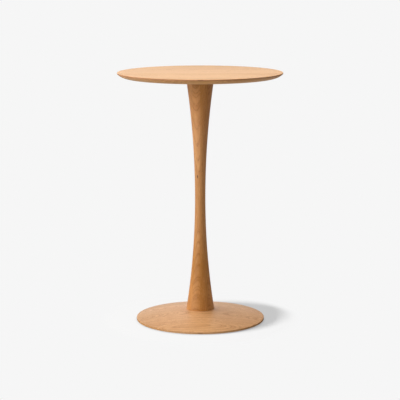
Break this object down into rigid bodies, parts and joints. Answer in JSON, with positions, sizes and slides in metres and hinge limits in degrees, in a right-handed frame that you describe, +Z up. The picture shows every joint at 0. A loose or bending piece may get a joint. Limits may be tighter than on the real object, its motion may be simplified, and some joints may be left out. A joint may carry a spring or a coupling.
{
  "type": "bar table",
  "caption": "Tall round bar table in solid oak: thin undercut top on one turned, waisted column, with a shallow domed base that holds steel ballast and levelling feet.",
  "frame": {"origin": "on the floor under the middle of the table", "axes": "+Z up along the column, X along the boards of the top and the base"},
  "size_m": [0.7, 0.7, 1.07],
  "materials": {
    "top_oak": "satin clear lacquer on light oak",
    "column_oak": "satin clear lacquer on light oak",
    "base_oak": "satin clear lacquer on light oak",
    "beech_dowel": "plain turned beech",
    "black_steel": "fine textured black powder coat",
    "zinc_steel": "bright zinc plate",
    "insert_metal": "plain turned",
    "foot_nylon": "moulded nylon"
  },
  "bodies": {
    "table": {"top_board_1": "top_oak", "top_board_2": "top_oak", "top_board_3": "top_oak", "top_board_4": "top_oak", "top_board_5": "top_oak", "top_board_6": "top_oak", "top_board_7": "top_oak", "top_plate": "black_steel", "plate_boss": "black_steel", "top_inserts": "insert_metal", "top_screws": "zinc_steel", "column_screws": "zinc_steel", "column_core_left": "column_oak", "column_core_right": "column_oak", "upper_cheek_left": "column_oak", "upper_cheek_right": "column_oak", "lower_cheek_left": "column_oak", "lower_cheek_right": "column_oak", "base_dowels": "beech_dowel", "tie_rod": "zinc_steel", "rod_washer": "zinc_steel", "rod_nut": "zinc_steel", "base_board_1": "base_oak", "base_board_2": "base_oak", "base_board_3": "base_oak", "base_board_4": "base_oak", "base_board_5": "base_oak", "base_board_6": "base_oak", "ballast_plate": "black_steel", "ballast_screws": "zinc_steel", "foot_inserts": "insert_metal"},
    "pad_1": {"foot_pad_1": "foot_nylon"},
    "stem_1": {"foot_stem_1": "zinc_steel"},
    "pad_2": {"foot_pad_2": "foot_nylon"},
    "stem_2": {"foot_stem_2": "zinc_steel"},
    "pad_3": {"foot_pad_3": "foot_nylon"},
    "stem_3": {"foot_stem_3": "zinc_steel"},
    "pad_4": {"foot_pad_4": "foot_nylon"},
    "stem_4": {"foot_stem_4": "zinc_steel"}
  },
  "joints": [
    {"name": "foot_lift_1", "type": "slide", "parent": "table", "child": "pad_1", "axis": [0, 0, -1], "range_m": [0, 0.006]},
    {"name": "foot_turn_1", "type": "hinge", "parent": "pad_1", "child": "stem_1", "pos_m": [0.15981, 0.15981, 0], "axis": [0, 0, -1], "range_deg": [0, 1725]},
    {"name": "foot_lift_2", "type": "slide", "parent": "table", "child": "pad_2", "axis": [0, 0, -1], "range_m": [0, 0.006]},
    {"name": "foot_turn_2", "type": "hinge", "parent": "pad_2", "child": "stem_2", "pos_m": [-0.15981, 0.15981, 0], "axis": [0, 0, -1], "range_deg": [0, 1725]},
    {"name": "foot_lift_3", "type": "slide", "parent": "table", "child": "pad_3", "axis": [0, 0, -1], "range_m": [0, 0.006]},
    {"name": "foot_turn_3", "type": "hinge", "parent": "pad_3", "child": "stem_3", "pos_m": [-0.15981, -0.15981, 0], "axis": [0, 0, -1], "range_deg": [0, 1725]},
    {"name": "foot_lift_4", "type": "slide", "parent": "table", "child": "pad_4", "axis": [0, 0, -1], "range_m": [0, 0.006]},
    {"name": "foot_turn_4", "type": "hinge", "parent": "pad_4", "child": "stem_4", "pos_m": [0.15981, -0.15981, 0], "axis": [0, 0, -1], "range_deg": [0, 1725]}
  ],
  "couplings": [
    {"joint": "foot_lift_1", "follows": "foot_turn_1", "m_per_rad": 0.00019894},
    {"joint": "foot_lift_2", "follows": "foot_turn_2", "m_per_rad": 0.00019894},
    {"joint": "foot_lift_3", "follows": "foot_turn_3", "m_per_rad": 0.00019894},
    {"joint": "foot_lift_4", "follows": "foot_turn_4", "m_per_rad": 0.00019894}
  ]
}
